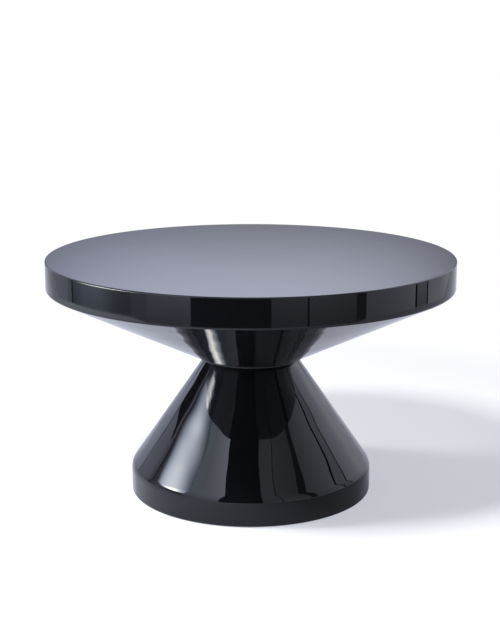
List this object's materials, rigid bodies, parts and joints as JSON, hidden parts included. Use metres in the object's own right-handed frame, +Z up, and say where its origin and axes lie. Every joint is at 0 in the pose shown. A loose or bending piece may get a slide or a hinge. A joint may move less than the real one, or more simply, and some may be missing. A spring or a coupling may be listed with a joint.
{
  "type": "round cocktail table",
  "caption": "Low round side table in gloss black: a flat disc top with an upright rim over two cones that meet at a narrow waist, flaring to a plinth band on hidden levelling glides.",
  "frame": {"origin": "on the floor, on the table's axis", "axes": "+Z up along the table's axis; +X and +Y lie midway between the glides, and the picture looks along +Y"},
  "size_m": [0.6, 0.6, 0.354],
  "materials": {
    "lacquer": "gloss",
    "birch_board": "matte",
    "black_board": "matte",
    "black_steel": "satin",
    "zinc_steel": "satin",
    "black_nylon": "satin",
    "grey_rubber": "matte"
  },
  "bodies": {
    "table": {"tabletop_pan": "lacquer", "upper_cone_shell": "lacquer", "lower_shell": "lacquer", "tabletop_core": "birch_board", "rim_ring": "birch_board", "waist_plug": "birch_board", "base_ring": "birch_board", "base_board": "black_board", "ballast_plate": "black_steel", "column_tube": "black_steel", "column_top_flange": "black_steel", "column_end_plug": "black_steel", "base_board_screws": "zinc_steel", "ballast_bolts": "zinc_steel", "ballast_washers": "zinc_steel", "flange_screws": "zinc_steel", "column_bolt": "zinc_steel", "column_washer": "zinc_steel", "glide_inserts": "zinc_steel"},
    "glide_1_foot": {"glide_foot_1": "black_nylon", "glide_sole_1": "grey_rubber"},
    "glide_1_stem": {"glide_stem_1": "zinc_steel"},
    "glide_2_foot": {"glide_foot_2": "black_nylon", "glide_sole_2": "grey_rubber"},
    "glide_2_stem": {"glide_stem_2": "zinc_steel"},
    "glide_3_foot": {"glide_foot_3": "black_nylon", "glide_sole_3": "grey_rubber"},
    "glide_3_stem": {"glide_stem_3": "zinc_steel"},
    "glide_4_foot": {"glide_foot_4": "black_nylon", "glide_sole_4": "grey_rubber"},
    "glide_4_stem": {"glide_stem_4": "zinc_steel"}
  },
  "joints": [
    {"name": "glide_1_extend", "type": "slide", "parent": "table", "child": "glide_1_foot", "axis": [0, 0, -1], "range_m": [0, 0.01]},
    {"name": "glide_1_turn", "type": "hinge", "parent": "glide_1_foot", "child": "glide_1_stem", "pos_m": [0.10889, 0.10889, 0.012], "axis": [0, 0, -1], "range_deg": [0, 2940]},
    {"name": "glide_2_extend", "type": "slide", "parent": "table", "child": "glide_2_foot", "axis": [0, 0, -1], "range_m": [0, 0.01]},
    {"name": "glide_2_turn", "type": "hinge", "parent": "glide_2_foot", "child": "glide_2_stem", "pos_m": [-0.10889, 0.10889, 0.012], "axis": [0, 0, -1], "range_deg": [0, 2940]},
    {"name": "glide_3_extend", "type": "slide", "parent": "table", "child": "glide_3_foot", "axis": [0, 0, -1], "range_m": [0, 0.01]},
    {"name": "glide_3_turn", "type": "hinge", "parent": "glide_3_foot", "child": "glide_3_stem", "pos_m": [-0.10889, -0.10889, 0.012], "axis": [0, 0, -1], "range_deg": [0, 2940]},
    {"name": "glide_4_extend", "type": "slide", "parent": "table", "child": "glide_4_foot", "axis": [0, 0, -1], "range_m": [0, 0.01]},
    {"name": "glide_4_turn", "type": "hinge", "parent": "glide_4_foot", "child": "glide_4_stem", "pos_m": [0.10889, -0.10889, 0.012], "axis": [0, 0, -1], "range_deg": [0, 2940]}
  ],
  "couplings": [
    {"joint": "glide_1_turn", "follows": "glide_1_extend", "rad_per_m": 5026.5},
    {"joint": "glide_2_turn", "follows": "glide_2_extend", "rad_per_m": 5026.5},
    {"joint": "glide_3_turn", "follows": "glide_3_extend", "rad_per_m": 5026.5},
    {"joint": "glide_4_turn", "follows": "glide_4_extend", "rad_per_m": 5026.5}
  ]
}
